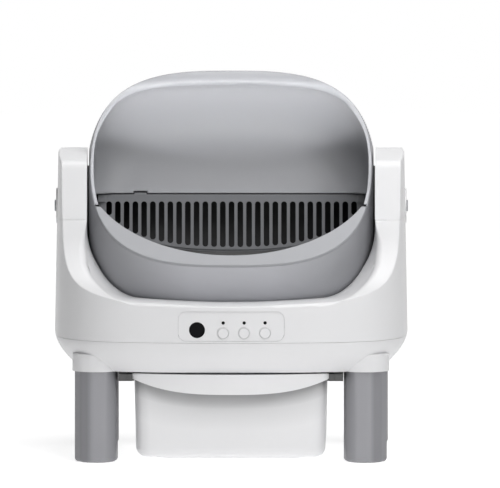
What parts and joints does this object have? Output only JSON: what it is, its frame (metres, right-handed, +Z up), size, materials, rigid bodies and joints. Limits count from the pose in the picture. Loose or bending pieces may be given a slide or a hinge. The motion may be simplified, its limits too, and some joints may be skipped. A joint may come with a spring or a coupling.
{
  "type": "self-cleaning litter box",
  "caption": "Self-cleaning litter box: a turning drum with a slanted mouth and a slotted sieve, held between two arms over a waste drawer on rails, on round legs.",
  "frame": {"origin": "on the floor below the middle of the machine, in line with the drum's pivot axis", "axes": "+Z up, the mouth faces -Y, the pivot axis lies along X"},
  "size_m": [0.547, 0.4999, 0.5885],
  "materials": {
    "white_plastic": "fine satin moulded plastic",
    "grey_plastic": "fine satin moulded plastic",
    "dark_grey_plastic": "fine satin moulded plastic",
    "leg_plastic": "fine satin moulded plastic",
    "rail_plastic": "plain moulded plastic",
    "black_plastic": "polished dark window",
    "light_pipe": "milky light pipe",
    "gear_plastic": "natural acetal",
    "soft_rubber": "moulded rubber",
    "steel": "zinc plated steel",
    "bearing_steel": "ground steel",
    "circuit_board": "green lacquer",
    "motor_metal": "zinc plated can"
  },
  "bodies": {
    "base": {"lower_shell": "white_plastic", "upper_housing": "white_plastic", "arm_cover_left": "white_plastic", "arm_cover_right": "white_plastic", "pivot_cap_left": "white_plastic", "pivot_cap_right": "white_plastic", "control_panel": "white_plastic", "rear_cover": "white_plastic", "drum_tray": "dark_grey_plastic", "waste_chute": "dark_grey_plastic", "bearing_block_left": "dark_grey_plastic", "bearing_block_right": "dark_grey_plastic", "gearbox": "dark_grey_plastic", "rail_left": "rail_plastic", "rail_right": "rail_plastic", "leg_front_left": "leg_plastic", "leg_front_right": "leg_plastic", "leg_rear_left": "leg_plastic", "leg_rear_right": "leg_plastic", "chute_seal": "soft_rubber", "key_mat": "soft_rubber", "foot_pad_front_left": "soft_rubber", "foot_pad_front_right": "soft_rubber", "foot_pad_rear_left": "soft_rubber", "foot_pad_rear_right": "soft_rubber", "indicator_lamps": "light_pipe", "sensor_window": "black_plastic", "power_inlet": "black_plastic", "control_board": "circuit_board", "rear_cover_screws": "steel", "load_cells": "steel", "bearing_left": "bearing_steel", "bearing_right": "bearing_steel", "drive_motor": "motor_metal"},
    "drum": {"bowl_shell": "grey_plastic", "bowl_lip": "grey_plastic", "bowl_liner": "dark_grey_plastic", "sieve_plate": "grey_plastic", "hood_shell": "grey_plastic", "hood_rim": "grey_plastic", "hood_liner": "grey_plastic", "hub_left": "dark_grey_plastic", "hub_right": "dark_grey_plastic", "hub_screws": "steel", "drive_gear": "gear_plastic"},
    "pinion": {"drive_pinion": "gear_plastic"},
    "bin": {"waste_bin": "white_plastic", "bin_front_lip": "white_plastic", "bin_runner_left": "rail_plastic", "bin_runner_right": "rail_plastic", "bag_ring": "dark_grey_plastic"},
    "key_left": {"key_left": "white_plastic"},
    "key_middle": {"key_middle": "white_plastic"},
    "key_right": {"key_right": "white_plastic"},
    "release_left": {"release_button_left": "grey_plastic"},
    "release_right": {"release_button_right": "grey_plastic"},
    "latch_left": {"sieve_latch_left": "grey_plastic"},
    "latch_right": {"sieve_latch_right": "grey_plastic"}
  },
  "joints": [
    {"name": "drum_turn", "type": "hinge", "parent": "base", "child": "drum", "pos_m": [0, 0, 0.3834], "axis": [-1, 0, 0], "range_deg": [-15, 160]},
    {"name": "pinion_spin", "type": "hinge", "parent": "base", "child": "pinion", "pos_m": [0, 0, 0.3084], "axis": [-1, 0, 0], "range_deg": [-640, 60]},
    {"name": "bin_slide", "type": "slide", "parent": "base", "child": "bin", "axis": [0, -1, 0], "range_m": [0, 0.3]},
    {"name": "key_left_press", "type": "slide", "parent": "base", "child": "key_left", "axis": [0, 1, 0], "range_m": [0, 0.001], "stiffness_N_per_m": 600, "springref_m": -0.001},
    {"name": "key_middle_press", "type": "slide", "parent": "base", "child": "key_middle", "axis": [0, 1, 0], "range_m": [0, 0.001], "stiffness_N_per_m": 600, "springref_m": -0.001},
    {"name": "key_right_press", "type": "slide", "parent": "base", "child": "key_right", "axis": [0, 1, 0], "range_m": [0, 0.001], "stiffness_N_per_m": 600, "springref_m": -0.001},
    {"name": "release_left_press", "type": "slide", "parent": "base", "child": "release_left", "axis": [1, 0, 0], "range_m": [0, 0.0025], "stiffness_N_per_m": 800, "springref_m": -0.001},
    {"name": "release_right_press", "type": "slide", "parent": "base", "child": "release_right", "axis": [-1, 0, 0], "range_m": [0, 0.0025], "stiffness_N_per_m": 800, "springref_m": -0.001},
    {"name": "latch_left_slide", "type": "slide", "parent": "drum", "child": "latch_left", "axis": [1, 0, 0], "range_m": [0, 0.003]},
    {"name": "latch_right_slide", "type": "slide", "parent": "drum", "child": "latch_right", "axis": [-1, 0, 0], "range_m": [0, 0.003]}
  ],
  "couplings": [
    {"joint": "pinion_spin", "follows": "drum_turn", "ratio": -4}
  ]
}
